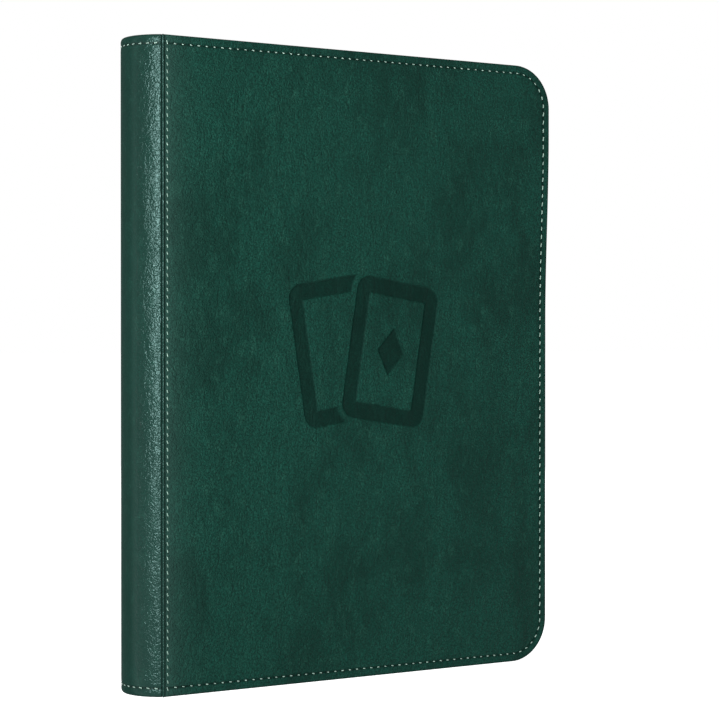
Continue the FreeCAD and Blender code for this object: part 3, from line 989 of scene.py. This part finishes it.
def add_tooth(points, faces, centre, along, out, side, reach, width, height, tip):
    """One tooth: a waisted bar from its grip on the tape to a rounded tip.

    reach is the grip's distance from the middle of the zip; tip is where the tooth ends,
    negative past the middle."""
    across = Vector((0, side, 0))
    length = reach - tip
    start = len(points)
    for share, swell in TOOTH_RINGS:
        middle = centre + across * (reach - share * length)
        for a, b in TOOTH_SECTION:
            points.append(middle + along * (a * width * swell) + out * (b * height))
    sides = len(TOOTH_SECTION)
    faces += ring_quads(len(TOOTH_RINGS), sides, start)
    faces.append(tuple(start + k for k in range(sides))[::-1])
    last = start + (len(TOOTH_RINGS) - 1) * sides
    faces.append(tuple(last + k for k in range(sides)))


class BINDER_OT_zip(bpy.types.Operator):
    """Make the zip's teeth on both covers and on the ends at the spine"""
    bl_idname = "binder.zip"
    bl_label = "Zip Teeth"

    def execute(self, context):
        zip_props = context.scene.binder_zip
        low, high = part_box("back_zip_chain")
        reach = high.y
        height = 2 * (high.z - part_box("back_zip_tape")[1].z) + 0.8 * MM
        inset = HEIGHT - high.z + height / 2
        start = low.x - HINGE_X - stitch_props().seam_offset
        total, place = cover_route(inset)
        count = int((total - 2 * start) / zip_props.pitch)
        for (name, body, side), phase in zip(COVERS, (0.25, 0.75)):
            points, faces = [], []
            for k in range(count):
                where, along, out = place(start + (k + phase) * (total - 2 * start) / count)
                add_tooth(points, faces, where, along, out, side, reach, zip_props.width, height,
                          -zip_props.overlap)
            teeth = close_normals(new_piece(name + "_zip_teeth", points, faces, material("zip_plastic")))
            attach(teeth, body)
            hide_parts(name + "_zip_chain")
        self.make_tail_teeth(zip_props, reach, height, inset)
        return {"FINISHED"}

    def make_tail_teeth(self, zip_props, reach, height, inset):
        """Short teeth on the zip ends, clear of the wedge that runs between them."""
        low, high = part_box("zip_tail_chains")
        count = int((high.x - low.x) / zip_props.pitch)
        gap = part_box("back_zip_chain")[0].y
        points, faces = [], []
        for z, out_z in ((inset, -1), (HEIGHT - inset, 1)):
            for side, phase in ((-1, 0.3), (1, 0.7)):
                for k in range(count):
                    x = low.x + (k + phase) * (high.x - low.x) / count
                    add_tooth(points, faces, Vector((x, 0, z)), Vector((1, 0, 0)),
                              Vector((0, 0, out_z)), side, reach, zip_props.width, height, gap)
        teeth = close_normals(new_piece("zip_end_teeth", points, faces, material("zip_plastic")))
        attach(teeth, "spine")
        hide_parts("zip_tail_chains")


# ---- hinge cloth and carried nodes ----
class BINDER_OT_hinge_cloth(bpy.types.Operator):
    """Make the cloth strips that cross the inside of each cover's hinge"""
    bl_idname = "binder.hinge_cloth"
    bl_label = "Hinge Cloth"

    def execute(self, context):
        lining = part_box("spine_lining")
        inner_radius = SPINE_CENTRE_X - lining[0].x - 0.80 * MM
        radius = inner_radius - CLOTH_GAP
        first = asin((COVER_INNER - 2.6 * MM) / inner_radius)
        last = acos((SPINE_CENTRE_X - HINGE_X) / inner_radius)
        arc = [(SPINE_CENTRE_X - radius * cos(a), radius * sin(a))
               for a in np.linspace(first, last, 9)]
        face_y = COVER_INNER - CLOTH_GAP
        flat = [(HINGE_X + d * MM, face_y) for d in (1.6, 2.4, 3.6, 5.0, 6.5, 8.0)]
        section = arc + [(HINGE_X + 0.7 * MM, (arc[-1][1] + face_y) / 2)] + flat
        heights = spaced(lining[0].z + 0.8 * MM, lining[1].z - 0.8 * MM, 6 * MM)
        for name, body, side in COVERS:
            points = [(x, side * y, z) for z in heights for x, y in section]
            faces = grid_quads(len(heights), len(section), flip=side > 0)
            strip = new_piece(name + "_hinge_cloth", points, faces, material("lining_cloth"))
            thicken(strip, 0.25 * MM, -1.0 if side > 0 else 1.0)
            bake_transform(strip)
        return {"FINISHED"}


class BINDER_OT_carried_nodes(bpy.types.Operator):
    """Finish every shown node, and soften the edges of slider, pull and tabs"""
    bl_idname = "binder.carried_nodes"
    bl_label = "Boards, Linings, Pages and Slider"

    def execute(self, context):
        slots = {s["node"]: s["material_slot"] for s in frame["record"]["subparts"]}
        for name, node in frame["nodes"].items():
            node.data.materials.clear()
            node.data.materials.append(material(SLOT_MATERIALS[slots[name]]))
        for name, width in (("zip_slider", 0.35 * MM), ("zip_pull", 0.16 * MM),
                            ("zip_end_tabs", 0.3 * MM)):
            bevel = frame["nodes"][name].modifiers.new("soft_edges", "BEVEL")
            bevel.width = width
            bevel.segments = 3
            bevel.limit_method = "ANGLE"
            bevel.use_clamp_overlap = True
        return {"FINISHED"}


# ---- stage ----
def floor_material():
    """Pale floor: plain to the lamps, white to the camera where nothing shades it."""
    nodes = NodeTree("studio_floor")
    grain = nodes.noise(30 * MM, 3.0)
    base = nodes.mix(grain, [0.80] * 3, [0.84] * 3)
    matt = nodes.feed(nodes.add("BsdfDiffuse"), Color=base).outputs[0]
    glow = nodes.feed(nodes.add("Emission"), Strength=FLOOR_GLOW).outputs[0]
    return nodes.close_by_ray(matt, nodes.feed_in_order(nodes.add("AddShader"), matt, glow))


def put(item, place, direction):
    """Sets an object at a place, looking in a direction."""
    item.location = place
    item.rotation_mode = "QUATERNION"
    item.rotation_quaternion = direction.to_track_quat("-Z", "Y")


def soft_box(name, place, width, height, power):
    """Rectangular area lamp aimed at the binder."""
    lamp = bpy.data.lights.new(name, "AREA")
    lamp.shape = "RECTANGLE"
    lamp.size = width
    lamp.size_y = height
    lamp.energy = power
    put(add_object(name, lamp), place, LAMP_TARGET - Vector(place))


def make_world(scene, strength):
    """Even room light; white where the camera sees it."""
    nodes = NodeTree("studio_room", world=True)
    scene.world = nodes.owner
    room = nodes.feed(nodes.add("Background"), Color=(0.95, 0.98, 1.0), Strength=strength)
    white = nodes.feed(nodes.add("Background"), Color=[1.0] * 3)
    nodes.close_by_ray(room.outputs[0], white.outputs[0])


class BINDER_OT_stage(bpy.types.Operator):
    """Make the floor, the lamps and the camera"""
    bl_idname = "binder.stage"
    bl_label = "Stage"

    def execute(self, context):
        scene = context.scene
        props = scene.binder_stage
        corners = [(x * FLOOR_HALF, y * FLOOR_HALF, 0) for x, y in ((-1, -1), (1, -1), (1, 1), (-1, 1))]
        floor = new_piece("floor", corners, [(0, 1, 2, 3)], floor_material())
        for name, place, width, height in LAMPS:
            soft_box(name + "_soft_box", place, width, height, getattr(props, name))
        make_world(scene, props.sky)
        data = bpy.data.cameras.new("studio_camera")
        data.lens = props.lens
        data.sensor_width = 36.0
        data.clip_start = 0.05
        data.clip_end = 100.0
        camera = add_object("studio_camera", data)
        aim = Vector((sin(props.heading) * cos(props.dip),
                      cos(props.heading) * cos(props.dip), -sin(props.dip)))
        put(camera, props.camera_place, aim)
        scene.camera = camera
        scene.view_settings.view_transform = "Standard"
        return {"FINISHED"}


# ---- panel and registration ----
STEPS = ("covers", "spine", "stitching", "zip", "hinge_cloth", "carried_nodes", "stage")
GROUPS = (("binder_leather", BinderLeather), ("binder_stitching", BinderStitching),
          ("binder_zip", BinderZip), ("binder_stage", BinderStage))


class BINDER_PT_panel(bpy.types.Panel):
    """Sizes, colours and pieces of the binder"""
    bl_idname = "BINDER_PT_panel"
    bl_label = "Card Binder"
    bl_space_type = "VIEW_3D"
    bl_region_type = "UI"
    bl_category = "Binder"

    def draw(self, context):
        for step in STEPS:
            self.layout.operator("binder." + step)
        for key, group in GROUPS:
            box = self.layout.box()
            box.label(text=group.__doc__)
            for prop in group.__annotations__:
                box.prop(getattr(context.scene, key), prop)


CLASSES = (BinderLeather, BinderStitching, BinderZip, BinderStage, BINDER_OT_covers, BINDER_OT_spine,
           BINDER_OT_stitching, BINDER_OT_zip, BINDER_OT_hinge_cloth, BINDER_OT_carried_nodes,
           BINDER_OT_stage, BINDER_PT_panel)


def register():
    for cls in CLASSES:
        bpy.utils.register_class(cls)
    for key, group in GROUPS:
        setattr(bpy.types.Scene, key, PointerProperty(type=group))


def unregister():
    for key, _ in GROUPS:
        delattr(bpy.types.Scene, key)
    for cls in reversed(CLASSES):
        bpy.utils.unregister_class(cls)


def main():
    register()
    for step in STEPS:
        getattr(bpy.ops.binder, step)()
    bpy.context.view_layer.update()


if __name__ == "__main__":
    main()
